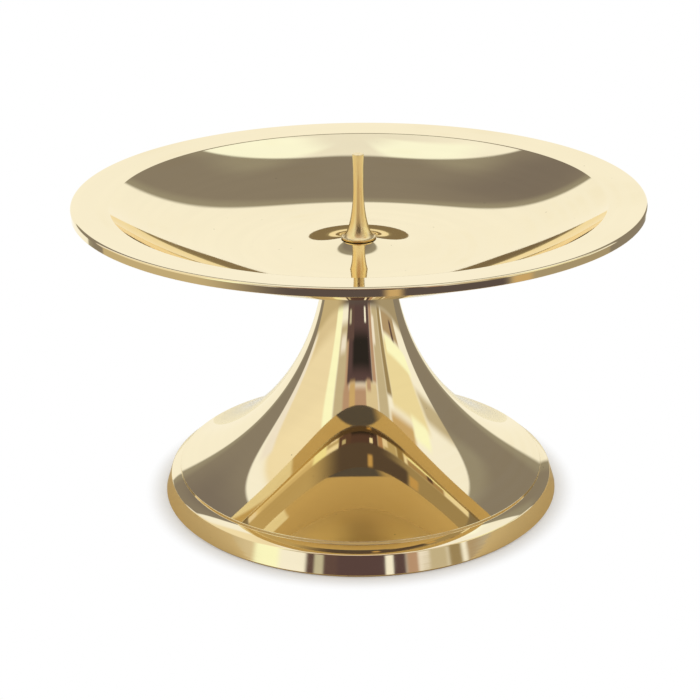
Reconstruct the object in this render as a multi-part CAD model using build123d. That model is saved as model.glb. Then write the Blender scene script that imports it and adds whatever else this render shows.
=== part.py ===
from build123d import *
import os
from math import asin, degrees, sqrt

# Pricket candle stand in turned brass, in millimetres, standing on z = 0 with
# its axis on Z. A hollow trumpet foot carries a wide dish. The blunt pricket
# passes its threaded shank through the dish and the top of the foot, and a
# nut with two washers inside the hollow neck draws the three pieces together.

# Foot
foot_radius = 54.65
foot_height = 68.0
foot_wall = 2.3
flare_dip = 4.0  # the hollow-sided flare would level out this far below its lip
lip_riser = 0.8  # small upright step under the edge of the flare
lip_round = 0.15
shoulder_width = 2.7
shoulder_drop = 1.6
shoulder_bulge = 14.0  # radius of the swelling shoulder between lip and band
band_height = 5.6
band_lean = 1.55  # the band leans inward by this much at its top
band_round = 0.6
foot_chamfer = 0.7
ring_width = 3.2  # wall at the edge that stands on the table
hollow_round = 1.2
boss_thickness = 6.0  # solid top of the foot that the shank passes
spigot_wall = 2.8
spigot_height = 1.0

# Dish
dish_radius = 75.0
dish_wall = 1.8
rim_width = 9.7
rim_rise = 1.1  # the flat rim rises gently to its outer edge
rim_thickness = 2.3  # the rim is left heavier than the bowl
rim_round = 0.6
rim_base_round = 0.15
crease_round = 0.9  # where the rim turns down into the bowl
knuckle_round = 1.5  # the same turn on the underside
knuckle_share = 0.4  # how far the turn below lies outside the crease, in walls
bowl_depth = 14.05
floor_radius = 26.0  # where the floor turns up into the bowl
swell_radius = 19.0  # inside this the floor swells up a little
swell_height = 0.17
mound_radius = 11.0  # edge of the low cone that the pricket stands on
mound_height = 0.95
seat_margin = 0.45  # flat of the seat round the foot of the pricket

# Pricket
flange_radius = 4.55
flange_edge = 0.5
flange_lift = 1.08  # tapered foot that holds the flange off the dish
flange_foot_radius = 4.0
pin_radius = 1.35
flare_rise = 14.5
pin_straight = 4.0
tip_rise = 3.9  # over this height the pin widens to its blunt tip
tip_radius = 1.5
tip_round = 0.12
shank_radius = 3.0
shank_proud = 2.0  # thread that shows below the nut
shank_chamfer = 0.6

# Fasteners inside the neck
washer_radius = 6.0
washer_thickness = 1.6
spring_thickness = 1.6
spring_width = 2.5
spring_gap = 1.3
nut_flats = 10.0
nut_height = 5.2
nut_corner_bevel = 0.45

# Clearances
shank_clearance = 0.2  # round the shank in the dish, the foot and the washer
spring_clearance = 0.4  # round the shank in the spring washer
thread_clearance = 0.05  # between the plain shank and the plain hole of the nut
neck_clearance = 1.2  # round the plain washer in the hollow neck
spigot_clearance = 0.05
spigot_end_clearance = 0.1
overrun = 1.0

hole_radius = shank_radius + shank_clearance
spring_bore = shank_radius + spring_clearance
spigot_radius = hole_radius + spigot_wall
neck_radius = washer_radius + neck_clearance + foot_wall

# Heights of the foot from the table up, and the ellipse of its flare
lip_height = band_height + shoulder_drop + lip_riser
band_top_radius = foot_radius - band_lean
lip_radius = band_top_radius - shoulder_width
flare_height = foot_height - lip_height
flare_reach = flare_height + flare_dip
flare_run = (lip_radius - neck_radius) / (
    1 - sqrt(1 - (flare_height / flare_reach) ** 2)
)

# Heights of the dish, whose flat underside stands on the neck of the foot
seat_radius = flange_foot_radius + seat_margin
floor_height = foot_height + dish_wall
seat_height = floor_height + swell_height + mound_height
crease_radius = dish_radius - rim_width
crease_height = floor_height + bowl_depth
rim_height = crease_height + rim_rise

# The pricket and the stack of fasteners that hangs from the top of the foot
flange_height = seat_height + flange_lift
waist_height = flange_height + flange_edge + flare_rise
tip_height = waist_height + pin_straight + tip_rise
washer_top = foot_height - boss_thickness
spring_top = washer_top - washer_thickness
nut_top = spring_top - spring_thickness
nut_bottom = nut_top - nut_height


def rounded(outline, spots):
    """The face inside an outline, with a round of given radius at each spot."""
    face = make_face(outline)
    for spot, radius in spots:
        corner = face.vertices().sort_by_distance(spot)[0]
        face = fillet(corner, radius)
    return face


def spin(face):
    """Solid of revolution about Z from a flat face of radius and height."""
    return revolve(Plane.XZ * face, Axis.Z)


def chain(*points):
    return [Line(a, b) for a, b in zip(points, points[1:])]


def flare(centre, run, reach, first_drop, last_drop):
    """Hollow-sided elliptical sweep between two drops below its centre."""
    level = 180  # direction of the neck from the centre, in degrees
    first = degrees(asin(first_drop / reach))
    last = degrees(asin(last_drop / reach))
    return EllipticalCenterArc(centre, run, reach, level + first, arc_size=last - first)


def foot_outline():
    centre = (neck_radius + flare_run, foot_height)
    outer = flare(centre, flare_run, flare_reach, 0, flare_height)
    inner_run = flare_run + foot_wall
    inner_reach = flare_reach + foot_wall
    ceiling = foot_height - boss_thickness
    hollow_radius = foot_radius - ring_width
    share = (centre[0] - hollow_radius) / inner_run
    wall_drop = inner_reach * sqrt(1 - share**2)
    inner = flare(centre, inner_run, inner_reach, boss_thickness, wall_drop)
    lip = outer @ 1
    lip_base = (lip_radius, lip_height - lip_riser)
    band_top = (band_top_radius, band_height)
    band_foot = (foot_radius, foot_chamfer)
    shoulder = RadiusArc(lip_base, band_top, shoulder_bulge)
    outline = [
        outer,
        Line(lip, lip_base),
        shoulder,
        *chain(
            band_top,
            band_foot,
            (foot_radius - foot_chamfer, 0),
            (hollow_radius, 0),
            inner @ 1,
        ),
        inner,
        *chain(
            inner @ 0,
            (hole_radius, ceiling),
            (hole_radius, foot_height + spigot_height),
            (spigot_radius, foot_height + spigot_height),
            (spigot_radius, foot_height),
            outer @ 0,
        ),
    ]
    rounds = [
        (lip, lip_round),
        (band_top, band_round),
        (inner @ 1, hollow_round),
    ]
    return outline, rounds


def make_foot():
    outline, rounds = foot_outline()
    return spin(rounded(outline, rounds))


def make_dish():
    seat_edge = (seat_radius, seat_height)
    mound_edge = (mound_radius, floor_height + swell_height)
    swell_edge = (swell_radius, floor_height)
    floor_edge = (floor_radius, floor_height)
    crease = (crease_radius, crease_height)
    rim_top = (dish_radius, rim_height)
    rim_bottom = (dish_radius, rim_height - rim_thickness)
    step = knuckle_share * dish_wall
    knuckle_height = crease_height - dish_wall + step * rim_rise / rim_width
    knuckle = (crease_radius + step, knuckle_height)
    under_edge = (floor_radius, foot_height)
    recess_radius = spigot_radius + spigot_clearance
    recess_top = foot_height + spigot_height + spigot_end_clearance
    outline = [
        *chain(
            (hole_radius, recess_top),
            (hole_radius, seat_height),
            seat_edge,
            mound_edge,
        ),
        TangentArc(swell_edge, mound_edge, tangent=(-1, 0)),
        Line(swell_edge, floor_edge),
        TangentArc(floor_edge, crease, tangent=(1, 0)),
        *chain(crease, rim_top, rim_bottom, knuckle),
        TangentArc(under_edge, knuckle, tangent=(1, 0)),
        *chain(
            under_edge,
            (recess_radius, foot_height),
            (recess_radius, recess_top),
            (hole_radius, recess_top),
        ),
    ]
    rounds = [
        (crease, crease_round),
        (rim_top, rim_round),
        (rim_bottom, rim_base_round),
        (knuckle, knuckle_round),
    ]
    return spin(rounded(outline, rounds))


def make_pricket():
    straight_top = waist_height + pin_straight
    tip = (tip_radius, tip_height)
    centre = (flange_radius, waist_height)
    sweep = flare(centre, flange_radius - pin_radius, flare_rise, 0, flare_rise)
    shank_end = nut_bottom - shank_proud
    outline = [
        *chain(
            (0, shank_end),
            (shank_radius - shank_chamfer, shank_end),
            (shank_radius, shank_end + shank_chamfer),
            (shank_radius, seat_height),
            (flange_foot_radius, seat_height),
            (flange_radius, flange_height),
            sweep @ 1,
        ),
        sweep,
        *chain(
            sweep @ 0,
            (pin_radius, straight_top),
            tip,
            (0, tip_height),
            (0, shank_end),
        ),
    ]
    return spin(rounded(outline, [(tip, tip_round)]))


def ring(outer, inner, top, thickness):
    return Pos(0, 0, top - thickness) * extrude(
        Circle(outer) - Circle(inner), thickness
    )


def make_plain_washer():
    return ring(washer_radius, hole_radius, washer_top, washer_thickness)


def make_spring_washer():
    """A ring cut through on a slant, flattened between the washer and the nut."""
    outer = spring_bore + spring_width
    body = ring(outer, spring_bore, spring_top, spring_thickness)
    half = spring_gap / 2
    lean = spring_thickness / 2
    bottom = nut_top - overrun
    top = spring_top + overrun
    slot = make_face(
        chain(
            (-half - lean, bottom),
            (half - lean, bottom),
            (half + lean, top),
            (lean - half, top),
            (-half - lean, bottom),
        )
    )
    return body - extrude(Plane.XZ * slot, -outer - overrun)


def make_hex_nut():
    """Hexagon nut with its corners turned off at both ends."""
    sides = 6
    bore = shank_radius + thread_clearance
    face_radius = nut_flats / 2
    corner = nut_flats / sqrt(3)
    hexagon = RegularPolygon(face_radius, sides, major_radius=False)
    block = Pos(0, 0, nut_bottom) * extrude(hexagon - Circle(bore), nut_height)
    envelope = make_face(
        chain(
            (0, nut_bottom),
            (face_radius, nut_bottom),
            (corner, nut_bottom + nut_corner_bevel),
            (corner, nut_top - nut_corner_bevel),
            (face_radius, nut_top),
            (0, nut_top),
            (0, nut_bottom),
        )
    )
    return block & spin(envelope)


pieces = {
    "foot": make_foot(),
    "dish": make_dish(),
    "pricket": make_pricket(),
    "plain_washer": make_plain_washer(),
    "spring_washer": make_spring_washer(),
    "hex_nut": make_hex_nut(),
}

os.makedirs("parts", exist_ok=True)
for name, piece in pieces.items():
    piece.label = name
    export_step(piece, f"parts/{name}.step")
    box = piece.bounding_box()
    print(name, "volume", round(piece.volume), "from", box.min, "to", box.max)
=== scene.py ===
# %% [markdown]
# A turned brass pricket candle stand
#
# The stand is three turned pieces of brass: a hollow trumpet foot, a wide shallow dish
# and a blunt pricket that a candle is pushed onto. A nut with two washers, hidden in the
# hollow neck, draws them together. The forms could be drawn from nothing, but the CAD has
# them to size, so it is loaded first as a fixed frame. Everything stays in metres and
# where the CAD says.

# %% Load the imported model
import math

import bpy
from mathutils import Matrix, Vector


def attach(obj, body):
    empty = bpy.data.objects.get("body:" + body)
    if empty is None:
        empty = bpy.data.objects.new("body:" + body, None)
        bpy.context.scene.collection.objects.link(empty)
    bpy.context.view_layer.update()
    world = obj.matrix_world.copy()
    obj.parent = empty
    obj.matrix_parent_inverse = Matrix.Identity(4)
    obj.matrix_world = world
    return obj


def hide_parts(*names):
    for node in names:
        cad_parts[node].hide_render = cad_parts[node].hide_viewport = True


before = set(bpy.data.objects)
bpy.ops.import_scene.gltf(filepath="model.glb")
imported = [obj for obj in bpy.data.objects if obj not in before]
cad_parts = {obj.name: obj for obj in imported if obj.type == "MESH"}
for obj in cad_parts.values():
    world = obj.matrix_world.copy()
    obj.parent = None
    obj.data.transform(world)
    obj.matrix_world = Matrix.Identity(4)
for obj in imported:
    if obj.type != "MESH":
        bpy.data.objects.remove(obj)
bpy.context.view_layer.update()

print("packed nodes:", ", ".join(sorted(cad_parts)))

# %% [markdown]
# The camera
#
# The photograph looks down on the stand from the front at a little over 22 degrees, from
# an arm's length away. The view could be found by eye, but the round rim and base show as
# ovals, and their sizes give the angle and the distance. A lens of nearly 80 mm on a 36 mm
# sensor gives the same narrow view. The stand sits slightly right of the middle and leans
# by a fraction of a degree, so the camera is turned by those angles and not shifted.

# %% Camera
mm = 0.001
camera_place = Vector((0.0, -390.7, 199.2)) * mm
camera_down = math.radians(22.21)
camera_aside = math.radians(0.385)
camera_roll = math.radians(-0.6)

camera_data = bpy.data.cameras.new("camera")
camera_data.sensor_width = 36.0
camera_data.lens = 79.1
camera = bpy.data.objects.new("camera", camera_data)
bpy.context.scene.collection.objects.link(camera)
camera.location = camera_place
level = math.radians(90)
aim = (
    Matrix.Rotation(camera_aside, 3, "Z")
    @ Matrix.Rotation(level - camera_down, 3, "X")
    @ Matrix.Rotation(camera_roll, 3, "Z")
)
camera.rotation_euler = aim.to_euler()
bpy.context.scene.camera = camera
bpy.context.scene.view_settings.view_transform = "Standard"
print("camera looks down by", round(math.degrees(camera_down), 2), "degrees")

# %% [markdown]
# Building node trees in words
#
# Every finish here is made of shader nodes. They could be placed by hand in the editor,
# but a script can repeat them. Five small helpers keep the trees readable: one adds a node
# and fills its sockets with numbers or with the outputs of other nodes, one does
# arithmetic, one turns a value into a soft step between two limits, one lays a colour over
# another, and one starts a node group.

# %% Node helpers
def add_node(tree, kind, sockets=None, **settings):
    node = tree.nodes.new(kind)
    for name, value in settings.items():
        setattr(node, name, value)
    for name, value in (sockets or {}).items():
        if isinstance(value, bpy.types.NodeSocket):
            tree.links.new(value, node.inputs[name])
        else:
            node.inputs[name].default_value = value
    return node


def maths(tree, operation, first, second=0.0, third=0.0):
    inputs = {0: first, 1: second, 2: third}
    return add_node(tree, "ShaderNodeMath", inputs, operation=operation).outputs[0]


def soft_step(tree, value, low, high, at_low=0.0, at_high=1.0):
    inputs = {0: value, 1: low, 2: high, 3: at_low, 4: at_high}
    step = add_node(tree, "ShaderNodeMapRange", inputs, interpolation_type="SMOOTHSTEP")
    return step.outputs[0]


def blend_colours(tree, share, under, over):
    """One colour laid over another by a share. The mix node has its colours at 6 and 7."""
    mix = add_node(tree, "ShaderNodeMix", data_type="RGBA")
    for number, value in ((0, share), (6, under), (7, over)):
        socket = mix.inputs[number]
        if isinstance(value, bpy.types.NodeSocket):
            tree.links.new(value, socket)
        elif number == 0:
            socket.default_value = value
        else:
            socket.default_value = (*value, 1.0)
    return mix.outputs[2]


def new_group(name, inputs, outputs):
    """An empty node group with named float inputs and outputs, and its two end nodes."""
    group = bpy.data.node_groups.new(name, "ShaderNodeTree")
    for title, value in inputs:
        socket = group.interface.new_socket(
            title, in_out="INPUT", socket_type="NodeSocketFloat"
        )
        socket.default_value = value
    for title in outputs:
        group.interface.new_socket(
            title, in_out="OUTPUT", socket_type="NodeSocketFloat"
        )
    start = group.nodes.new("NodeGroupInput")
    end = group.nodes.new("NodeGroupOutput")
    return group, start, end


print("node helpers ready")

# %% [markdown]
# The studio round the stand
#
# Polished brass has hardly a colour of its own: what it shows is the room. The stand in
# the photograph mirrors a white table, a white backdrop inside a large grey arch, pale
# walls to both sides, and a dark room behind the camera. The room could be built of planes
# and lamps, but the world shader gives clean mirror images without noise. One group draws
# a soft-edged card at a direction in the world, given in degrees round the stand and above
# the horizon, and each card of the studio is one use of that group.

# %% A card of the studio
card, card_in, card_out = new_group(
    "studio card",
    [
        ("Round", 0.0),
        ("Up", 0.0),
        ("Middle round", 0.0),
        ("Middle up", 0.0),
        ("Half width", 10.0),
        ("Half height", 10.0),
        ("Softness", 2.0),
    ],
    ["Mask"],
)


def card_side(value, middle, half, wraps):
    away = maths(card, "SUBTRACT", value, middle)
    if wraps:
        away = maths(card, "WRAP", away, 180.0, -180.0)
    away = maths(card, "ABSOLUTE", away)
    inner = maths(card, "SUBTRACT", half, card_in.outputs["Softness"])
    outer = maths(card, "ADD", half, card_in.outputs["Softness"])
    return soft_step(card, away, inner, outer, 1.0, 0.0)


across = card_side(
    card_in.outputs["Round"],
    card_in.outputs["Middle round"],
    card_in.outputs["Half width"],
    True,
)
upright = card_side(
    card_in.outputs["Up"],
    card_in.outputs["Middle up"],
    card_in.outputs["Half height"],
    False,
)
card.links.new(maths(card, "MULTIPLY", across, upright), card_out.inputs["Mask"])
print("studio card group has", len(card.nodes), "nodes")

# %% [markdown]
# Tones of the studio
#
# What colour does a mirror of brass take? White here is a little blue, as daylight through
# a tent is, and that is what makes polished brass read as pale cream. The other tones are
# cloth, card and the darkness of the room. They are named once, so that a card that needs
# the same stuff gets the same tone.

# %% Tones
daylight = (1.03, 1.08, 1.20)
cool_white = (0.96, 0.97, 1.10)
cream_wall = (0.93, 0.87, 0.73)
cream_high = (0.98, 0.92, 0.77)
cream_low = (0.77, 0.69, 0.54)
lamp_white = (1.08, 1.20, 1.04)
grey_cloth = (0.275, 0.255, 0.25)
grey_fold = (0.22, 0.20, 0.21)
pale_fold = (0.34, 0.33, 0.31)
lamp_dim = (0.60, 0.60, 0.55)
overhead = (0.92, 0.96, 1.05)
crown_light = (1.08, 1.20, 1.28)
beige_far = (0.60, 0.55, 0.45)
yellow_wall = (0.92, 0.87, 0.64)
wood = (0.65, 0.48, 0.27)
shelf_brown = (0.48, 0.38, 0.28)
post_brown = (0.36, 0.29, 0.18)
red_brown = (0.52, 0.36, 0.30)
room_dark = (0.11, 0.072, 0.09)
corner_black = (0.028, 0.025, 0.028)
cupboard = (0.13, 0.085, 0.095)
floor_dark = (0.115, 0.095, 0.11)
floor_left = (0.60, 0.52, 0.37)
floor_right = (0.42, 0.37, 0.29)
print("white of the studio:", daylight)

# %% [markdown]
# World directions and the large arches
#
# The world's direction gives two angles: round the stand, zero straight behind it and
# growing to the right, and up from the horizon. The grey cloth hangs as a tall arch, and
# the lit backdrop as a smaller one in front of it. Cards would give them corners that the
# bowl of the dish doesn't show, so both are rounded like a superellipse.

# %% Arches
world = bpy.data.worlds.new("studio")
bpy.context.scene.world = world
world.use_nodes = True
sky = world.node_tree
sky.nodes.clear()
direction = add_node(sky, "ShaderNodeTexCoord").outputs["Generated"]
axes = add_node(sky, "ShaderNodeSeparateXYZ", {0: direction}).outputs
in_degrees = 180.0 / math.pi
up = maths(sky, "MULTIPLY", maths(sky, "ARCSINE", axes["Z"]), in_degrees)
turn = maths(sky, "ARCTAN2", axes["X"], axes["Y"])
round_stand = maths(sky, "MULTIPLY", turn, in_degrees)


def arch(middle, half_width, height, bend_across, bend_up, softness):
    """Mask of an arch that stands on the horizon."""
    away = maths(sky, "ABSOLUTE", maths(sky, "SUBTRACT", round_stand, middle))
    across = maths(sky, "POWER", maths(sky, "DIVIDE", away, half_width), bend_across)
    rise = maths(sky, "DIVIDE", maths(sky, "MAXIMUM", up, 0.0), height)
    upward = maths(sky, "POWER", rise, bend_up)
    reach = maths(sky, "ADD", across, upward)
    return soft_step(sky, reach, 1.0 - softness, 1.0 + softness, 1.0, 0.0)


print("world directions ready, sky tree has", len(sky.nodes), "nodes")

# %% [markdown]
# The cards
#
# Each line names one thing that the brass mirrors: its middle and half size in degrees,
# how soft its edge is, and its tone. The places were read off the photograph, by working
# out which way each spot of the metal looks. Later cards lie over earlier ones, so a list
# and one loop are enough.

# %% Cards round the stand
def add_card(title, middle, half, softness):
    values = {
        "Round": round_stand,
        "Up": up,
        "Middle round": middle[0],
        "Middle up": middle[1],
        "Half width": half[0],
        "Half height": half[1],
        "Softness": softness,
    }
    node = add_node(sky, "ShaderNodeGroup", values, node_tree=card, label=title)
    return node.outputs["Mask"]


cards = [
    ("light left of the crown", (-38.0, 72.0), (20.0, 10.0), 5.0, crown_light),
    ("light right of the crown", (52.0, 66.0), (20.0, 13.0), 5.0, crown_light),
    ("left wall", (-94.0, 20.0), (28.0, 44.0), 3.0, cream_wall),
    ("left wall, upper part", (-94.0, 46.0), (28.0, 12.0), 6.0, cream_high),
    ("left wall, lower part", (-97.0, 1.0), (26.0, 6.0), 4.0, cream_low),
    ("left window edge", (-64.5, 18.0), (4.0, 20.0), 2.0, cool_white),
    ("left lamp", (-127.0, 24.0), (7.5, 27.0), 2.5, lamp_white),
    ("left far wall", (-144.0, 28.0), (9.5, 22.0), 2.5, beige_far),
    ("left far window", (-143.0, 14.5), (5.5, 3.5), 2.5, cool_white),
    ("left door", (-155.5, 22.0), (4.0, 24.0), 2.5, red_brown),
    ("right window", (73.0, 24.0), (13.0, 30.0), 2.0, daylight),
    ("right curtain", (70.0, 26.0), (11.0, 6.0), 3.5, beige_far),
    ("right wall", (103.0, 24.0), (21.0, 14.0), 3.0, yellow_wall),
    ("right wood panel", (114.0, 50.0), (15.0, 9.0), 3.0, wood),
    ("light over the right wall", (92.0, 41.0), (8.0, 5.0), 2.5, lamp_white),
    ("right sill", (98.0, 11.5), (20.0, 3.5), 1.5, lamp_white),
    ("right shelf", (103.0, 3.0), (17.0, 4.5), 1.5, shelf_brown),
    ("right doorpost", (127.5, 16.0), (4.0, 18.0), 1.5, post_brown),
    ("right far wall", (139.5, 24.0), (8.0, 26.0), 2.5, beige_far),
    ("right door", (152.0, 14.0), (3.5, 18.0), 1.5, red_brown),
    ("low light on the right", (145.5, 9.0), (3.0, 6.0), 1.5, cool_white),
    ("room behind the camera", (180.0, 12.0), (24.5, 21.0), 1.5, room_dark),
    ("darkest corner", (177.0, 19.0), (18.0, 8.0), 4.0, corner_black),
    ("cupboard behind on the left", (-158.5, 4.0), (8.5, 10.0), 1.5, cupboard),
    ("ceiling behind the camera", (180.0, 46.0), (30.0, 12.0), 3.0, red_brown),
    ("lit wall behind on the left", (-166.0, 38.0), (5.0, 6.0), 2.0, wood),
    ("lit wall behind on the right", (159.0, 38.0), (10.0, 6.0), 1.5, cream_low),
    ("hatch on the right", (98.0, 4.5), (2.5, 3.5), 1.0, cupboard),
    ("warm edge of the lit wall", (163.0, 33.5), (3.5, 2.5), 1.5, red_brown),
    ("lamp behind on the left", (-157.0, 4.0), (2.5, 3.0), 1.0, lamp_dim),
    ("lamp behind on the right", (164.8, 3.2), (2.2, 3.4), 0.8, daylight),
]


def lay_cards(colour, cards):
    """Cards laid over a colour, each one over those before it."""
    for title, middle, half, softness, tone in cards:
        colour = blend_colours(sky, add_card(title, middle, half, softness), colour, tone)
    return colour


overhead_from = 60.0
overhead_full = 82.0
high_up = soft_step(sky, up, overhead_from, overhead_full)
colour = lay_cards(blend_colours(sky, high_up, daylight, overhead), cards)
print("cards in the studio:", len(cards))

# %% [markdown]
# The floor past the table
#
# Past the small table the metal still looks down on something: a floor that is beige to
# the sides and dark in front, where the camera stands. A plane of that size would do, but
# its noise and shadows would only disturb the metal, so the floor is tones as well.

# %% Floor
horizon = (-3.0, 1.0)
from_left_to_right = (-20.0, 20.0)
from_side_to_front = (112.0, 156.0)
below = soft_step(sky, up, *horizon, 1.0, 0.0)
right_side = soft_step(sky, round_stand, *from_left_to_right)
front = soft_step(sky, maths(sky, "ABSOLUTE", round_stand), *from_side_to_front)
floor_cards = [
    ("shade on the floor to the right", (138.0, -20.0), (17.0, 10.0), 3.0, floor_dark),
    ("gleam on the floor in front", (167.0, -20.0), (3.0, 6.0), 2.0, wood),
    ("gleam on the floor to the right", (115.0, -20.0), (4.5, 6.0), 2.0, wood),
]
ground = blend_colours(sky, right_side, floor_left, floor_right)
ground = lay_cards(blend_colours(sky, front, ground, floor_dark), floor_cards)
colour = blend_colours(sky, below, colour, ground)
print("cards on the floor:", len(floor_cards))

# %% [markdown]
# The grey cloth and the backdrop
#
# The bowl of the dish shows a broad grey band with a bright field below it: a grey cloth
# with folds, and a lit backdrop that leans to one side and spills some light on the cloth.
# A photograph of a studio could stand here, but two arches and a few soft folds are enough
# and can be mended one by one.

# %% Cloth and backdrop
cloth_folds = [
    ("darker fold", (-28.0, 40.0), (16.0, 12.0), 9.0, grey_fold),
    ("paler fold", (56.0, 44.0), (8.0, 16.0), 5.0, pale_fold),
    ("paler fold high on the right", (38.0, 61.0), (9.0, 7.0), 6.0, pale_fold),
    ("paler fold high on the left", (-37.0, 62.0), (9.0, 7.0), 6.0, pale_fold),
]
backdrop_lean = 0.3
backdrop_foot = -8.0
backdrop_middle = maths(sky, "MULTIPLY_ADD", up, backdrop_lean, backdrop_foot)
big_arch = arch(2.0, 64.0, 75.5, bend_across=2.4, bend_up=2.2, softness=0.035)
spill = arch(backdrop_middle, 39.0, 41.5, bend_across=1.7, bend_up=1.7, softness=0.10)
backdrop = arch(backdrop_middle, 35.0, 37.5, bend_across=1.7, bend_up=1.7, softness=0.05)
cloth_tone = lay_cards(grey_cloth, cloth_folds)
cloth_tone = blend_colours(sky, spill, cloth_tone, pale_fold)
colour = blend_colours(sky, big_arch, colour, cloth_tone)
colour = blend_colours(sky, backdrop, colour, daylight)
print("folds in the cloth:", len(cloth_folds))

# %% [markdown]
# What the camera sees of the world
#
# The photograph was cut out, so round the stand there is plain white. The tones of the
# studio may only show in the metal: rays that come off a mirror get them, and the camera
# and the light that falls on the table get white. A white plane behind the stand would
# have been mirrored as well.

# %% World shader
white = (1.0, 1.0, 1.0)
light_path = add_node(sky, "ShaderNodeLightPath").outputs
mirrored = maths(
    sky, "MAXIMUM", light_path["Is Glossy Ray"], light_path["Is Transmission Ray"]
)
colour = blend_colours(sky, mirrored, white, colour)
background = add_node(sky, "ShaderNodeBackground", {"Color": colour, "Strength": 1.0})
add_node(sky, "ShaderNodeOutputWorld", {0: background.outputs[0]})
world.cycles.sampling_method = "NONE"
print("world has", len(sky.nodes), "nodes")

# %% [markdown]
# The table
#
# A pale disc carries the stand and catches its shadow. It has a hole inside the ring that
# the foot stands on, so that the hollow can be looked at from below, and the ring itself
# isn't shut off by it. A plain plane would be less work, but it would hide both.

# %% Table
table_radius = 190.0 * mm
table_hole = 53.9 * mm
table_steps = 128


def add_mesh(name, spots, faces):
    mesh = bpy.data.meshes.new(name)
    mesh.from_pydata(spots, [], faces)
    mesh.update()
    piece = bpy.data.objects.new(name, mesh)
    bpy.context.scene.collection.objects.link(piece)
    return piece


def flat_ring(name, inner, outer, steps):
    corners = []
    for radius in (inner, outer):
        for i in range(steps):
            angle = math.tau * i / steps
            corners.append((radius * math.cos(angle), radius * math.sin(angle), 0.0))
    faces = []
    for i in range(steps):
        j = (i + 1) % steps
        faces.append((i, steps + i, steps + j, j))
    return add_mesh(name, corners, faces)


table = flat_ring("table", table_hole, table_radius, table_steps)
print("table radius", table_radius, "m")

# %% [markdown]
# The table cloth, with painted light and shade, as the metal sees it
#
# The rim and the neck mirror the table. In front is a warm beige, which is the cloth's own tone
# with painted shade. Beyond it is a dark field. To the left and behind is white, painted light
# where daylight falls on the table. The places of these fields on the table are in metres
# from the axis. An image could hold them, but soft steps along the two sides of the table
# stay sharp at any size.

# %% Tones of the table
# The beige is the cloth's own tone with painted shade; the white further down is painted light.
beige_and_shade_tone = (0.65, 0.53, 0.335)
front_dark_tone = (0.11, 0.11, 0.15)
painted_light_tone = (0.97, 1.0, 1.0)
camera_tone = (0.86, 0.86, 0.85)
# Where the dark field at the front lies on the table, and where it fades.
front_dark_field_y = (-148.0 * mm, -143.0 * mm)
front_dark_field_fade_x = (50.0 * mm, 100.0 * mm)
front_dark_field_least = 0.15
# Where the white painted light lies, to the left and behind.
left_edge_x = (-131.0 * mm, -125.0 * mm)
left_edge_y = (-28.0 * mm, -18.0 * mm)
behind_y = (0.0, 45.0 * mm)
behind_half_width = (100.0 * mm, 120.0 * mm)

table_finish = bpy.data.materials.new("table_cloth")
table_finish.use_nodes = True
cloth = table_finish.node_tree
cloth.nodes.clear()
place = add_node(cloth, "ShaderNodeTexCoord").outputs["Object"]
spots = add_node(cloth, "ShaderNodeSeparateXYZ", {0: place}).outputs
front_dark_field = soft_step(cloth, spots["Y"], *front_dark_field_y, 1.0, 0.0)
near_left = soft_step(cloth, spots["X"], *front_dark_field_fade_x, 1.0, front_dark_field_least)
left_edge = soft_step(cloth, spots["X"], *left_edge_x, 1.0, 0.0)
left_back = soft_step(cloth, spots["Y"], *left_edge_y)
behind = soft_step(cloth, spots["Y"], *behind_y)
aside = maths(cloth, "ABSOLUTE", spots["X"])
middle_back = soft_step(cloth, aside, *behind_half_width, 1.0, 0.0)
# Painted light and shade on the table: a dark field at the front, and white painted light to
# the left and behind.
fields = [
    (maths(cloth, "MULTIPLY", front_dark_field, near_left), front_dark_tone),
    (maths(cloth, "MULTIPLY", left_edge, left_back), painted_light_tone),
    (maths(cloth, "MULTIPLY", behind, middle_back), painted_light_tone),
]
tone = beige_and_shade_tone
for mask, field_tone in fields:
    tone = blend_colours(cloth, mask, tone, field_tone)
print("fields on the table:", len(fields))

# %% [markdown]
# The table as the camera sees it
#
# In the photograph a soft shadow hugs the foot and fades to pure white a finger's breadth
# away. A plain white cloth would turn grey further out, so for the camera the cloth goes
# over into a white glow, and from below it lets the camera through.

# %% Finish of the table
white_from = 54.0 * mm
white_full = 61.0 * mm
white_least = 0.25
seen = add_node(cloth, "ShaderNodeLightPath").outputs["Is Camera Ray"]
away = add_node(cloth, "ShaderNodeVectorMath", {0: place}, operation="LENGTH").outputs["Value"]
white_share = soft_step(cloth, away, white_from, white_full, white_least, 1.0)
tone = blend_colours(cloth, seen, tone, camera_tone)
soft = add_node(cloth, "ShaderNodeBsdfDiffuse", {"Color": tone}).outputs[0]
glow = add_node(cloth, "ShaderNodeEmission", {"Color": (*white, 1.0)}).outputs[0]
share = maths(cloth, "MULTIPLY", white_share, seen)
lit = add_node(cloth, "ShaderNodeMixShader", {0: share, 1: soft, 2: glow}).outputs[0]
clear = add_node(cloth, "ShaderNodeBsdfTransparent").outputs[0]
under = add_node(cloth, "ShaderNodeNewGeometry").outputs["Backfacing"]
see_through = maths(cloth, "MULTIPLY", under, seen)
top = add_node(cloth, "ShaderNodeMixShader", {0: see_through, 1: lit, 2: clear}).outputs[0]
add_node(cloth, "ShaderNodeOutputMaterial", {0: top})
table.data.materials.append(table_finish)
print("table cloth has", len(cloth.nodes), "nodes")

# %% [markdown]
# Outlines for the lathe
#
# A turned piece is one outline spun round an axis. An outline could be a few points with a
# bevel and a subdivision surface, but mirror polish shows every wobble of that. Here each
# point of an outline also carries the exact direction of the curve, so that the spun mesh
# gets exact normals and its reflections run as cleanly as on the real lathe work. A point
# is radius, height, and the two parts of its direction.

# %% Pieces of an outline
def straight(start, end, steps=1):
    run = end[0] - start[0]
    rise = end[1] - start[1]
    length = math.hypot(run, rise)
    return [
        (start[0] + run * i / steps, start[1] + rise * i / steps, run / length, rise / length)
        for i in range(steps + 1)
    ]


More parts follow.
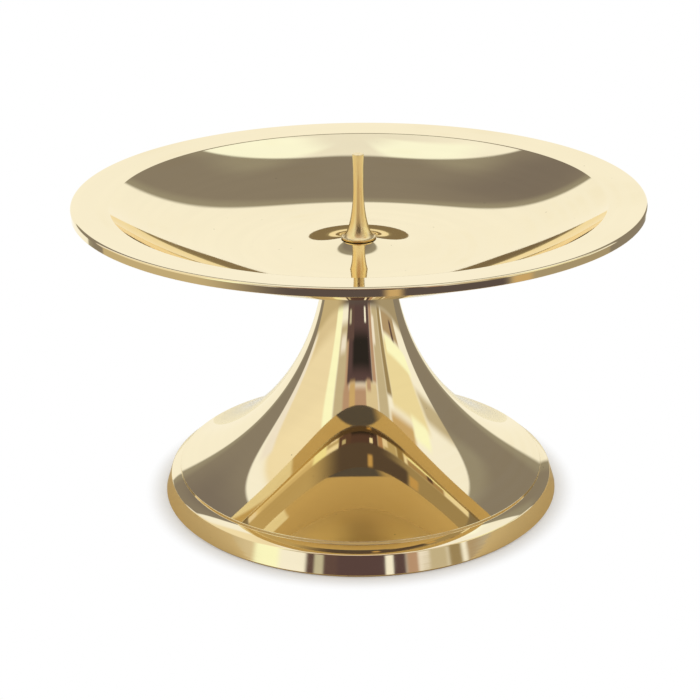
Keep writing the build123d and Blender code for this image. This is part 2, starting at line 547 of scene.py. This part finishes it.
def bend(start, end, way, steps):
    """Arc from start to end that leaves start in the given direction."""
    run = end[0] - start[0]
    rise = end[1] - start[1]
    ahead = run * way[0] + rise * way[1]
    aside = rise * way[0] - run * way[1]
    turn = 2 * math.atan2(aside, ahead)
    radius = (run**2 + rise**2) / (2 * aside)
    centre = (start[0] - way[1] * radius, start[1] + way[0] * radius)
    points = []
    for i in range(steps + 1):
        angle = turn * i / steps
        x = way[0] * math.cos(angle) - way[1] * math.sin(angle)
        y = way[0] * math.sin(angle) + way[1] * math.cos(angle)
        points.append((centre[0] + y * radius, centre[1] - x * radius, x, y))
    return points


def swelling(start, end, radius, steps):
    """Arc of given radius from start to end that bulges to the left of its way."""
    run = end[0] - start[0]
    rise = end[1] - start[1]
    length = math.hypot(run, rise)
    half = math.asin(length / 2 / radius)
    x = (run * math.cos(half) - rise * math.sin(half)) / length
    y = (run * math.sin(half) + rise * math.cos(half)) / length
    return bend(start, end, (x, y), steps)


def sweep(centre, run, reach, first_drop, last_drop, steps):
    """Part of an ellipse below and inside its centre, between two drops."""
    first = math.asin(first_drop / reach)
    last = math.asin(last_drop / reach)
    facing = 1 if last > first else -1
    points = []
    for i in range(steps + 1):
        angle = first + (last - first) * i / steps
        x = facing * run * math.sin(angle)
        y = -facing * reach * math.cos(angle)
        length = math.hypot(x, y)
        radius = centre[0] - run * math.cos(angle)
        height = centre[1] - reach * math.sin(angle)
        points.append((radius, height, x / length, y / length))
    return points


def backwards(path):
    return [(r, z, -x, -y) for r, z, x, y in reversed(path)]


print("outline pieces ready")

# %% [markdown]
# Rounded corners
#
# A polished edge is never sharp: the buffing wheel rounds it, and the small round catches
# a bright line. A bevel modifier would break up the exact normals, so the rounds are in
# the outline. Two paths are joined by cutting both back from their shared corner and
# laying a smooth curve between the cuts, which leaves each cut in its own direction.

# %% Joining paths
def cut_back(path, length):
    """The path without its first stretch of this length."""
    for i in range(len(path) - 1):
        here, there = path[i], path[i + 1]
        step = math.dist(here[:2], there[:2])
        if step > length:
            share = length / step
            cut = [a + (b - a) * share for a, b in zip(here, there)]
            size = math.hypot(cut[2], cut[3])
            return [(cut[0], cut[1], cut[2] / size, cut[3] / size)] + path[i + 1 :]
        length -= step
    return path[-1:]


def round_over(before, after, radius, steps=6):
    """Two paths made into one, with a round of this radius at their corner."""
    first, last = before[-1], after[0]
    across = first[2] * last[3] - first[3] * last[2]
    along = first[2] * last[2] + first[3] * last[3]
    turn = math.atan2(across, along)
    trim = radius * math.tan(abs(turn) / 2)
    before = backwards(cut_back(backwards(before), trim))
    after = cut_back(after, trim)
    a, b = before[-1], after[0]
    pull = math.dist(a[:2], b[:2]) / math.cos(turn / 4) ** 2
    between = []
    for i in range(1, steps):
        t = i / steps  # cubic weights of the two cuts and of their directions
        place = [2 * t**3 - 3 * t**2 + 1, t**3 - 2 * t**2 + t, 3 * t**2 - 2 * t**3, t**3 - t**2]
        slope = [6 * t**2 - 6 * t, 3 * t**2 - 4 * t + 1, 6 * t - 6 * t**2, 3 * t**2 - 2 * t]
        spot, way = [], []
        for k in (0, 1):
            parts = (a[k], a[k + 2] * pull, b[k], b[k + 2] * pull)
            spot.append(sum(p * q for p, q in zip(place, parts)))
            way.append(sum(p * q for p, q in zip(slope, parts)))
        size = math.hypot(*way)
        between.append((spot[0], spot[1], way[0] / size, way[1] / size))
    return before + between + after


def outline(first, *rest):
    """Paths joined in turn, each given with the round at the corner before it."""
    whole = first
    for radius, path in rest:
        whole = round_over(whole, path, radius) if radius else whole + path[1:]
    return whole


print("corner rounding ready")

# %% [markdown]
# Spinning an outline
#
# On the real lathe the metal turns and the tool follows the outline. Here a screw modifier
# could spin a curve, but it would make up its own normals, so the mesh is written out ring
# by ring. The outline runs with the metal on its right, so the left of its way is outside.
# The mesh is closed: the last ring joins the first, or the ends lie on the axis.

# %% The lathe
def turn_piece(name, path, around, thread=None):
    """Mesh object of a closed outline in metres, spun round the upright axis.

    A thread, if any, cuts into the rings between two heights.
    """
    solid = path[0][0] < 1e-9
    rings = path[1:-1] if solid else path
    spots, normals, faces = [], [], []
    for radius, height, x, y in rings:
        for i in range(around):
            c = math.cos(math.tau * i / around)
            s = math.sin(math.tau * i / around)
            cut, lean = thread(radius, height, i / around) if thread else (0.0, 0.0)
            spots.append(((radius - cut) * c, (radius - cut) * s, height))
            normals.append((-y * c, -y * s, x + lean))
    count = len(rings)
    for k in range(count - 1 if solid else count):
        upper, lower = k * around, (k + 1) % count * around
        for i in range(around):
            j = (i + 1) % around
            faces.append((upper + i, lower + i, lower + j, upper + j))
    if solid:
        for ring, pole, flip in ((0, path[0], False), (count - 1, path[-1], True)):
            hub = len(spots)
            spots.append((0.0, 0.0, pole[1]))
            normals.append((0.0, 0.0, -1.0 if flip else 1.0))
            for i in range(around):
                a = ring * around + i
                b = ring * around + (i + 1) % around
                faces.append((hub, b, a) if flip else (hub, a, b))
    piece = add_mesh(name, spots, faces)
    piece.data.shade_smooth()
    piece.data.normals_split_custom_set_from_vertices(normals)
    return piece


def place_piece(piece, slot, *nodes):
    """The piece stands for CAD nodes and keeps still. The slot is not used."""
    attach(piece, "root")
    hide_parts(*nodes)


print("lathe ready")

# %% [markdown]
# The foot
#
# A trumpet: a flare that is a quarter of an ellipse runs from the neck to a sharp lip, then
# comes a small upright step, a swelling shoulder, and a band that leans in towards its top.
# The inside is hollow and follows the outside. The sizes repeat those of the CAD part,
# because the turned mesh takes the place of the CAD's own and has to fit it.

# %% Sizes of the foot
foot_radius = 54.65 * mm
foot_height = 68.0 * mm
foot_wall = 2.3 * mm
flare_dip = 4.0 * mm
lip_riser = 0.8 * mm
lip_round = 0.15 * mm
shoulder_width = 2.7 * mm
shoulder_drop = 1.6 * mm
shoulder_bulge = 14.0 * mm
band_height = 5.6 * mm
band_lean = 1.55 * mm
band_round = 0.6 * mm
foot_chamfer = 0.7 * mm
ring_width = 3.2 * mm
hollow_round = 1.2 * mm
boss_thickness = 6.0 * mm
neck_radius = 9.5 * mm
hole_radius = 3.2 * mm
spigot_radius = 6.0 * mm
spigot_height = 1.0 * mm
edge_round = 0.12 * mm

lip_height = band_height + shoulder_drop + lip_riser
band_top_radius = foot_radius - band_lean
lip_radius = band_top_radius - shoulder_width
flare_height = foot_height - lip_height
flare_reach = flare_height + flare_dip
flare_share = math.sqrt(1 - (flare_height / flare_reach) ** 2)
flare_run = (lip_radius - neck_radius) / (1 - flare_share)
print("lip of the foot at radius", round(lip_radius, 4), "height", round(lip_height, 4))

# %% [markdown]
# Turning the foot
#
# The outline starts half way down the hole for the shank, goes over the spigot that centres
# the dish, down the flare to the table, and back through the hollow. A revolved solid with
# bevels would have the same form, but not the true normals that the mirror polish needs.

# %% Turn the foot
flare_steps = 72
hollow_steps = 48
shoulder_steps = 10
flat_steps = 4  # rings on the longer straight parts
large_turn = 256  # faces round the foot and the dish


def foot_outline():
    centre = (neck_radius + flare_run, foot_height)
    ceiling = foot_height - boss_thickness
    hollow_radius = foot_radius - ring_width
    inner_run = flare_run + foot_wall
    inner_reach = flare_reach + foot_wall
    share = (centre[0] - hollow_radius) / inner_run
    wall_drop = inner_reach * math.sqrt(1 - share**2)
    outer = sweep(centre, flare_run, flare_reach, 0.0, flare_height, flare_steps)
    down = sweep(centre, inner_run, inner_reach, boss_thickness, wall_drop, hollow_steps)
    inner = backwards(down)
    spigot_top = foot_height + spigot_height
    middle = foot_height - boss_thickness / 2
    lip = (lip_radius, lip_height)
    lip_base = (lip_radius, lip_height - lip_riser)
    band_top = (band_top_radius, band_height)
    band_foot = (foot_radius, foot_chamfer)
    standing = (foot_radius - foot_chamfer, 0.0)
    hollow_foot = (hollow_radius, 0.0)
    return outline(
        straight((hole_radius, middle), (hole_radius, spigot_top)),
        (edge_round, straight((hole_radius, spigot_top), (spigot_radius, spigot_top))),
        (edge_round, straight((spigot_radius, spigot_top), (spigot_radius, foot_height))),
        (edge_round, straight((spigot_radius, foot_height), (neck_radius, foot_height))),
        (edge_round, outer),
        (lip_round, straight(lip, lip_base)),
        (edge_round, swelling(lip_base, band_top, shoulder_bulge, shoulder_steps)),
        (band_round, straight(band_top, band_foot, flat_steps)),
        (edge_round, straight(band_foot, standing)),
        (edge_round, straight(standing, hollow_foot)),
        (edge_round, straight(hollow_foot, inner[0][:2])),
        (hollow_round, inner),
        (edge_round, straight(inner[-1][:2], (hole_radius, ceiling))),
        (edge_round, straight((hole_radius, ceiling), (hole_radius, middle))),
    )[:-1]


foot = turn_piece("foot_turned", foot_outline(), large_turn)
place_piece(foot, "polished_brass", "foot")
print("foot has", len(foot.data.polygons), "faces")

# %% [markdown]
# The dish
#
# A plate with a sloping flat rim, a crease where the rim turns down into the bowl, a ring
# of almost flat floor, and a low mound that rises to the seat of the pricket. On the real
# dish the mound shows as a small dark mirror on both sides of the pricket. The CAD has it
# as a low cone. A cone doesn't mirror that, so the lesson draws one hollow curve instead,
# which ends up to 0.8 mm higher close to the pricket.

# %% Sizes of the dish
dish_radius = 75.0 * mm
dish_wall = 1.8 * mm
rim_width = 9.7 * mm
rim_rise = 1.1 * mm
rim_thickness = 2.3 * mm
rim_round = 0.6 * mm
rim_base_round = 0.15 * mm
crease_round = 0.9 * mm
knuckle_round = 1.5 * mm
knuckle_share = 0.4
bowl_depth = 14.05 * mm
floor_radius = 26.0 * mm
mound_height = 1.12 * mm
mound_radius = 19.0 * mm
mound_rise = 1.954 * mm
mound_top_radius = 4.6 * mm
easing_rise = 0.075 * mm
recess_radius = 6.05 * mm
recess_depth = 1.1 * mm

floor_height = foot_height + dish_wall
seat_height = floor_height + mound_height
crease_radius = dish_radius - rim_width
crease_height = floor_height + bowl_depth
rim_height = crease_height + rim_rise
print("floor of the dish at", round(floor_height, 4), "rim at", round(rim_height, 4))

# %% [markdown]
# Turning the dish
#
# Metal as thin as this is spun over a form, so its underside follows the top. A shell
# modifier on the top alone could give it its thickness. The outline draws both sides, since
# the rim is left heavier than the bowl. The floor rises by less than a tenth of a
# millimetre towards the bowl: on a dead flat one the bowl would mirror a false dark edge.

# %% Turn the dish
mound_steps = 24
easing_steps = 8
bowl_steps = 56


def dish_outline():
    seat_edge = (mound_top_radius, seat_height)
    mound_edge = (mound_radius, floor_height)
    mound_top = (mound_top_radius, floor_height + mound_rise)
    floor_edge = (floor_radius, floor_height + easing_rise)
    crease = (crease_radius, crease_height)
    rim_top = (dish_radius, rim_height)
    rim_bottom = (dish_radius, rim_height - rim_thickness)
    step = knuckle_share * dish_wall
    knuckle_height = crease_height - dish_wall + step * rim_rise / rim_width
    knuckle = (crease_radius + step, knuckle_height)
    under_edge = (floor_radius, foot_height)
    recess_foot = (recess_radius, foot_height)
    recess_top = foot_height + recess_depth
    middle = (recess_top + seat_height) / 2
    mound = backwards(bend(mound_edge, mound_top, (-1.0, 0.0), mound_steps))
    easing = bend(mound_edge, floor_edge, (1.0, 0.0), easing_steps)
    bowl = bend(floor_edge, crease, easing[-1][2:], bowl_steps)
    under_bowl = backwards(bend(under_edge, knuckle, (1.0, 0.0), bowl_steps))
    return outline(
        straight((hole_radius, middle), (hole_radius, seat_height)),
        (edge_round, straight((hole_radius, seat_height), seat_edge)),
        (edge_round, straight(seat_edge, mound_top)),
        (edge_round, mound),
        (0.0, easing),
        (0.0, bowl),
        (crease_round, straight(crease, rim_top, flat_steps)),
        (rim_round, straight(rim_top, rim_bottom)),
        (rim_base_round, straight(rim_bottom, knuckle, flat_steps)),
        (knuckle_round, under_bowl),
        (0.0, straight(under_edge, recess_foot)),
        (edge_round, straight(recess_foot, (recess_radius, recess_top))),
        (edge_round, straight((recess_radius, recess_top), (hole_radius, recess_top))),
        (edge_round, straight((hole_radius, recess_top), (hole_radius, middle))),
    )[:-1]


dish = turn_piece("dish_turned", dish_outline(), large_turn)
place_piece(dish, "polished_brass", "dish")
print("dish has", len(dish.data.polygons), "faces")

# %% [markdown]
# The pricket
#
# A candle is pushed onto this blunt spike. It swells to a flange that sits on the mound,
# and its shank goes on below the dish, where the nut takes hold of it. It could be a spike
# and a bolt joined in one, but it is turned from one rod, and so it is one outline here.

# %% Sizes of the pricket
flange_radius = 4.55 * mm
flange_edge = 0.5 * mm
flange_lift = 1.08 * mm
flange_foot_radius = 4.0 * mm
pin_radius = 1.35 * mm
flare_rise = 14.5 * mm
pin_straight = 4.0 * mm
tip_rise = 3.9 * mm
tip_radius = 1.5 * mm
tip_round = 0.12 * mm
shank_radius = 3.0 * mm
shank_end = 51.6 * mm
shank_chamfer = 0.6 * mm
thread_pitch = 1.0 * mm
thread_depth = 0.5 * mm
thread_top = 62.5 * mm
thread_margin = 0.01 * mm
print("pricket flares over", round(flare_rise, 4), "m")

# %% [markdown]
# The thread of the shank
#
# The nut runs on a thread of one millimetre pitch. A screw modifier could wind a ridge, and
# a bump could feign one. Neither joins the plain shank cleanly, so here the radius of the
# shank also depends on the angle: the groove climbs by one pitch for each turn, and it
# fades out at its upper end.

# %% Thread of the shank
def shank_thread(radius, height, turn):
    """How deep the thread cuts at a place on the shank, and how far its flank leans."""
    if radius < shank_radius - thread_margin or height > thread_top:
        return 0.0, 0.0
    fade = min(1.0, (thread_top - height) / thread_pitch)
    phase = (height / thread_pitch - turn) % 1.0
    wave = 0.5 - 0.5 * math.cos(math.tau * phase)
    steepness = math.pi * thread_depth / thread_pitch * math.sin(math.tau * phase)
    return fade * thread_depth * wave, fade * steepness


print("thread of pitch", round(thread_pitch, 4), "m")

# %% [markdown]
# Turning the pricket
#
# From the blunt tip the outline goes down the straight part and the elliptical flare to the
# flange, under it, and down the shank to its chamfered end. A subdivided cylinder pulled
# into shape would be softer than metal off a lathe. The shank has many rings, so that the
# thread can cut into it.

# %% Turn the pricket
pin_round = 1.5 * mm
flange_round = 0.1 * mm
pin_steps = 40
thread_steps = 180
chamfer_steps = 6
small_turn = 96  # faces round the pricket and the washer


def pricket_outline():
    flange_height = seat_height + flange_lift
    waist = flange_height + flange_edge + flare_rise
    straight_top = waist + pin_straight
    top = straight_top + tip_rise
    centre = (flange_radius, waist)
    flare_foot = (flange_radius, flange_height + flange_edge)
    flange_under = (flange_radius, flange_height)
    flange_foot = (flange_foot_radius, seat_height)
    chamfer_top = (shank_radius, shank_end + shank_chamfer)
    chamfer_foot = (shank_radius - shank_chamfer, shank_end)
    tip = (tip_radius, top)
    pin_top = (pin_radius, straight_top)
    run = flange_radius - pin_radius
    side = sweep(centre, run, flare_rise, 0.0, flare_rise, pin_steps)
    shank_top = (shank_radius, seat_height)
    thread_start = (shank_radius, thread_top)
    return outline(
        straight((0.0, top), tip, flat_steps),
        (tip_round, straight(tip, pin_top, flat_steps)),
        (pin_round, straight(pin_top, (pin_radius, waist), flat_steps)),
        (0.0, side),
        (flange_round, straight(flare_foot, flange_under)),
        (flange_round, straight(flange_under, flange_foot)),
        (flange_round, straight(flange_foot, shank_top)),
        (flange_round, straight(shank_top, thread_start, flat_steps)),
        (0.0, straight(thread_start, chamfer_top, thread_steps)),
        (0.0, straight(chamfer_top, chamfer_foot, chamfer_steps)),
        (edge_round, straight(chamfer_foot, (0.0, shank_end), flat_steps)),
    )


pricket = turn_piece("pricket_turned", pricket_outline(), small_turn, shank_thread)
place_piece(pricket, "turned_brass", "pricket")
print("pricket has", len(pricket.data.polygons), "faces")

# %% [markdown]
# Turning lines
#
# A turning tool leaves fine rings, and polish never takes them all away. An image would
# have to be wrapped on each form. Noise needs no wrapping: it changes quickly along the
# outline, by the distance from the axis and the height, and hardly at all round it. The
# group gives the height of the lines and broader streaks, and every metal uses it.

# %% Turning lines
lines, lines_in, lines_out = new_group(
    "turning lines",
    [("Spacing", 0.5 * mm), ("Slant", 1.0), ("Broken", 40.0)],
    ["Height", "Streaks"],
)
spot = add_node(lines, "ShaderNodeTexCoord").outputs["Object"]
parts = add_node(lines, "ShaderNodeSeparateXYZ", {0: spot}).outputs
flat = add_node(lines, "ShaderNodeCombineXYZ", {0: parts["X"], 1: parts["Y"]})
radius_here = add_node(
    lines, "ShaderNodeVectorMath", {0: flat.outputs[0]}, operation="LENGTH"
).outputs["Value"]
along = maths(lines, "MULTIPLY_ADD", parts["Z"], lines_in.outputs["Slant"], radius_here)
ring_number = maths(lines, "DIVIDE", along, lines_in.outputs["Spacing"])
side_x = maths(lines, "MULTIPLY", parts["X"], lines_in.outputs["Broken"])
side_y = maths(lines, "MULTIPLY", parts["Y"], lines_in.outputs["Broken"])
ring_place = add_node(lines, "ShaderNodeCombineXYZ", {0: side_x, 1: side_y, 2: ring_number})
fine = add_node(
    lines,
    "ShaderNodeTexNoise",
    {"Vector": ring_place.outputs[0], "Scale": 1.0, "Detail": 2.0, "Roughness": 0.6},
)
coarse = add_node(
    lines,
    "ShaderNodeTexNoise",
    {"Vector": ring_place.outputs[0], "Scale": 0.23, "Detail": 1.0},
)
lines.links.new(fine.outputs[0], lines_out.inputs["Height"])
lines.links.new(coarse.outputs[0], lines_out.inputs["Streaks"])
print("turning lines group has", len(lines.nodes), "nodes")

# %% [markdown]
# Wear
#
# Brass ages in slow patches and in a few pin pricks of tarnish. Painting them by hand would
# suit one piece only, so a group makes both: slow noise for the patches, and a pattern of
# cells, of which a lottery picks a few, for the specks.

# %% Wear
speck_core = 0.02
speck_rarity = 0.86
wear, wear_in, wear_out = new_group(
    "wear",
    [("Patch size", 30.0 * mm), ("Speck size", 3.0 * mm), ("Speck share", 0.1)],
    ["Patches", "Specks"],
)
spot = add_node(wear, "ShaderNodeTexCoord").outputs["Object"]
patch_scale = maths(wear, "DIVIDE", 1.0, wear_in.outputs["Patch size"])
patches = add_node(
    wear, "ShaderNodeTexNoise", {"Vector": spot, "Scale": patch_scale, "Detail": 3.0}
)
speck_scale = maths(wear, "DIVIDE", 1.0, wear_in.outputs["Speck size"])
cells = add_node(wear, "ShaderNodeTexVoronoi", {"Vector": spot, "Scale": speck_scale})
middle_of_cell = cells.outputs["Distance"]
speck_edge = wear_in.outputs["Speck share"]
chosen = soft_step(wear, middle_of_cell, speck_core, speck_edge, 1.0, 0.0)
lottery = add_node(wear, "ShaderNodeSeparateColor", {0: cells.outputs["Color"]})
rare = maths(wear, "GREATER_THAN", lottery.outputs[0], speck_rarity)
specks = maths(wear, "MULTIPLY", chosen, rare)
wear.links.new(patches.outputs[0], wear_out.inputs["Patches"])
wear.links.new(specks, wear_out.inputs["Specks"])
print("wear group has", len(wear.nodes), "nodes")

# %% [markdown]
# A metal
#
# Brass of copper and zinc, buffed to a mirror, dulled by a tool or plated: all metals here
# are one recipe with other numbers. A glossy shader alone would do for the mirror, but the
# Principled shader can be exported. Its colour is the metal's own reflectance, its
# roughness swings a little with the streaks, and the bump is a few thousandths of a
# millimetre, which is enough to unsettle the reflections.

# %% Recipe for a metal
worn_from = 0.45
worn_full = 0.75
streak_from = 0.35
streak_full = 0.65
speck_darkness = 0.35
streak_darkness = 0.985
grazing_tone = (1.0, 0.95, 0.82, 1.0)


def darker(tone, share):
    return tuple(share * c for c in tone)


def metal(name, tones, roughness, marks, slant, broken):
    """A metal from its bright and worn tone, roughness and swing, line height and spacing."""
    tone, worn_tone = tones
    finish = bpy.data.materials.new(name)
    finish.use_nodes = True
    tree = finish.node_tree
    tree.nodes.clear()
    line_values = {"Spacing": marks[1] * mm, "Slant": slant, "Broken": broken}
    rings = add_node(tree, "ShaderNodeGroup", line_values, node_tree=lines)
    age = add_node(tree, "ShaderNodeGroup", node_tree=wear)
    worn = soft_step(tree, age.outputs["Patches"], worn_from, worn_full)
    colour = blend_colours(tree, worn, tone, worn_tone)
    speck_tone = darker(tone, speck_darkness)
    colour = blend_colours(tree, age.outputs["Specks"], colour, speck_tone)
    shaded = soft_step(tree, rings.outputs["Streaks"], streak_from, streak_full)
    colour = blend_colours(tree, shaded, colour, darker(tone, streak_darkness))
    streaks = maths(tree, "SUBTRACT", rings.outputs["Streaks"], 0.5)
    rough = maths(tree, "MULTIPLY_ADD", streaks, roughness[1], roughness[0])
    height = {"Strength": 1.0, "Distance": marks[0] * mm, "Height": rings.outputs["Height"]}
    bump = add_node(tree, "ShaderNodeBump", height)
    look = {
        "Base Color": colour,
        "Metallic": 1.0,
        "Roughness": rough,
        "Specular Tint": grazing_tone,
        "Normal": bump.outputs[0],
    }
    shader = add_node(tree, "ShaderNodeBsdfPrincipled", look)
    add_node(tree, "ShaderNodeOutputMaterial", {0: shader.outputs[0]})
    return finish


print("recipe for a metal ready")

# %% [markdown]
# The finishes of the brass
#
# One stand shows several finishes. The foot and the dish are mirrors, the edges that the
# wheel hardly reaches keep tool marks, the hollow of the foot is as it was turned, the
# underside of the dish is dull round the neck, the pricket is satin with streaks along it,
# and the corner under its flange is painted dark as shade. A table of numbers keeps them
# side by side. Heights and spacings of the lines are in millimetres.

# %% Finishes
polished = ((0.905, 0.775, 0.50), (0.87, 0.735, 0.455))
as_cut = ((0.78, 0.62, 0.34), (0.60, 0.44, 0.22))
satin = ((0.92, 0.75, 0.42), (0.70, 0.48, 0.20))
# The dark tones below are painted shade for the corner under the pricket's flange.
painted_shade_tones = ((0.16, 0.12, 0.07), (0.10, 0.07, 0.04))
zinc = ((0.66, 0.67, 0.68), (0.55, 0.55, 0.53))

finish_table = [
    # name, tones, (roughness, swing), (line height, spacing), slant, how broken
    ("brass_foot", polished, (0.028, 0.02), (0.0003, 0.9), -1.0, 8.0),
    ("brass_dish", polished, (0.035, 0.08), (0.0004, 0.9), 1.0, 8.0),
    ("brass_edge", polished, (0.05, 0.05), (0.0025, 0.45), 1.0, 25.0),
    ("brass_as_turned", as_cut, (0.30, 0.15), (0.006, 0.4), 1.0, 60.0),
    ("brass_under_dish", polished, (0.45, 0.06), (0.001, 0.5), 1.0, 30.0),
    ("brass_satin", satin, (0.30, 0.15), (0.012, 7.0), -1.0, 2600.0),
    # painted shade for the corner under the flange
    ("brass_painted_shade", painted_shade_tones, (0.45, 0.10), (0.004, 0.3), -1.0, 100.0),
    ("zinc_plate", zinc, (0.32, 0.10), (0.004, 0.3), 1.0, 200.0),
]
finishes = {row[0]: metal(*row) for row in finish_table}
print("finishes:", ", ".join(finishes))

# %% [markdown]
# Giving the faces their finish
#
# A piece can carry several materials, and each face has the number of one. Selecting faces
# by hand would be lost when a size changes, so a face is chosen by where its middle lies
# and by which way it looks.

# %% Finishes on their faces
def finish_where(piece, finish, chosen):
    """Give a finish to the faces whose middle radius and height are chosen."""
    mesh = piece.data
    mesh.materials.append(finish)
    number = len(mesh.materials) - 1
    count = 0
    for face in mesh.polygons:
        middle = face.center
        if chosen(math.hypot(middle.x, middle.y), middle.z, face.normal.z):
            face.material_index = number
            count += 1
    return count


foot_skin = 1.2 * mm  # outside this the foot is polished below as well
rim_skin = 0.3 * mm
dull_reach = 40.0 * mm
seat_below = 0.1 * mm


def in_hollow(radius, height, facing):
    return facing < -0.02 and radius < foot_radius - foot_skin


def on_band(radius, height, facing):
    return height < band_height and radius > band_top_radius


def on_rim_edge(radius, height, facing):
    return radius > dish_radius - rim_skin


def under_the_dish(radius, height, facing):
    return facing < -0.3 and radius < dull_reach


# The corner under the flange, which gets painted shade.
def under_the_flange(radius, height, facing):
    return seat_height - seat_below < height < seat_height + flange_lift


for piece, name in ((foot, "brass_foot"), (dish, "brass_dish"), (pricket, "brass_satin")):
    piece.data.materials.append(finishes[name])
places = [
    (foot, "brass_as_turned", in_hollow),
    (foot, "brass_edge", on_band),
    (dish, "brass_edge", on_rim_edge),
    (dish, "brass_under_dish", under_the_dish),
    # painted shade under the flange
    (pricket, "brass_painted_shade", under_the_flange),
]
for piece, name, chosen in places:
    print(name, "on", finish_where(piece, finishes[name], chosen), "faces of", piece.name)

# %% [markdown]
# The plain washer
#
# A stamped steel ring that spreads the pull of the nut over the top of the hollow. It is
# out of sight in the photograph, but it can be seen from below. The CAD's ring has sharp
# edges. A bevel modifier could break them, but the lathe is at hand and makes the small
# rounds that stamping leaves on one side.

# %% Plain washer
washer_radius = 6.0 * mm
washer_top = 62.0 * mm
washer_thickness = 1.6 * mm
stamped_round = 0.2 * mm


def washer_outline():
    low = washer_top - washer_thickness
    middle = washer_top - washer_thickness / 2
    return outline(
        straight((hole_radius, middle), (hole_radius, washer_top)),
        (edge_round, straight((hole_radius, washer_top), (washer_radius, washer_top))),
        (stamped_round, straight((washer_radius, washer_top), (washer_radius, low))),
        (edge_round, straight((washer_radius, low), (hole_radius, low))),
        (stamped_round, straight((hole_radius, low), (hole_radius, middle))),
    )[:-1]


plain_washer = turn_piece("plain_washer_stamped", washer_outline(), small_turn)
place_piece(plain_washer, "plated_steel", "plain_washer")
print("plain washer has", len(plain_washer.data.polygons), "faces")

# %% [markdown]
# The hexagon nut
#
# Six flats, corners turned off at both ends, and a mouth bored wider on each side so that
# the thread starts easily. Cutting a cylinder with a cone would be a boolean and would leave
# long thin faces. Rows of points round the axis are cleaner: the distance to the flat
# changes with the angle, and where it is largest the row drops by the bevel.

# %% Hexagon nut
nut_top = 58.8 * mm
nut_bottom = 53.6 * mm
nut_face = 5.0 * mm
nut_bore = 3.05 * mm
nut_mouth = 3.4 * mm
nut_bevel = 0.45 * mm
nut_steps = 144


def nut_rings():
    """Rows of points from the bore, out over the lower face, up and back over the top."""
    corner = nut_face / math.cos(math.radians(30))
    rows = []
    plain_rows = [
        (nut_bore, nut_bottom + nut_mouth - nut_bore),
        (nut_mouth, nut_bottom),
        (nut_face, nut_bottom),
        (None, 0),
        (None, 1),
        (nut_face, nut_top),
        (nut_mouth, nut_top),
        (nut_bore, nut_top - nut_mouth + nut_bore),
    ]
    for radius, height in plain_rows:
        row = []
        for i in range(nut_steps):
            angle = math.tau * i / nut_steps
            reach, level = radius, height
            if radius is None:
                reach = nut_face / math.cos(angle % math.radians(60) - math.radians(30))
                drop = nut_bevel * (reach - nut_face) / (corner - nut_face)
                level = nut_top - drop if height else nut_bottom + drop
            row.append((reach * math.cos(angle), reach * math.sin(angle), level))
        rows.append(row)
    return rows


def make_nut():
    rows = nut_rings()
    spots = [spot for row in rows for spot in row]
    faces = []
    for k in range(len(rows)):
        low, high = k * nut_steps, (k + 1) % len(rows) * nut_steps
        for i in range(nut_steps):
            j = (i + 1) % nut_steps
            faces.append((low + i, low + j, high + j, high + i))
    return add_mesh("hex_nut_made", spots, faces)


nut = make_nut()
place_piece(nut, "plated_steel", "hex_nut")
print("nut has", len(nut.data.polygons), "faces")

# %% [markdown]
# Zinc plate
#
# The fasteners are bluish satin steel, from the same recipe as the brass. The spring washer
# is a cut ring that the CAD already draws well, so it stays the CAD's own piece and only
# takes the finish. Turning it again would lose its slanted cut.

# %% Plate the steel
spring_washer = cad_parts["spring_washer"]
spring_washer.data.materials.clear()
fasteners = (plain_washer, nut, spring_washer)
for fastener in fasteners:
    fastener.data.materials.append(finishes["zinc_plate"])
print("fasteners plated:", len(fasteners))

# %% [markdown]
#


# %% [markdown]
# The pieces made
#
# The last call prints the names of the pieces made.

# %% Finish
print("pieces made:", foot.name, dish.name, pricket.name, plain_washer.name, nut.name)
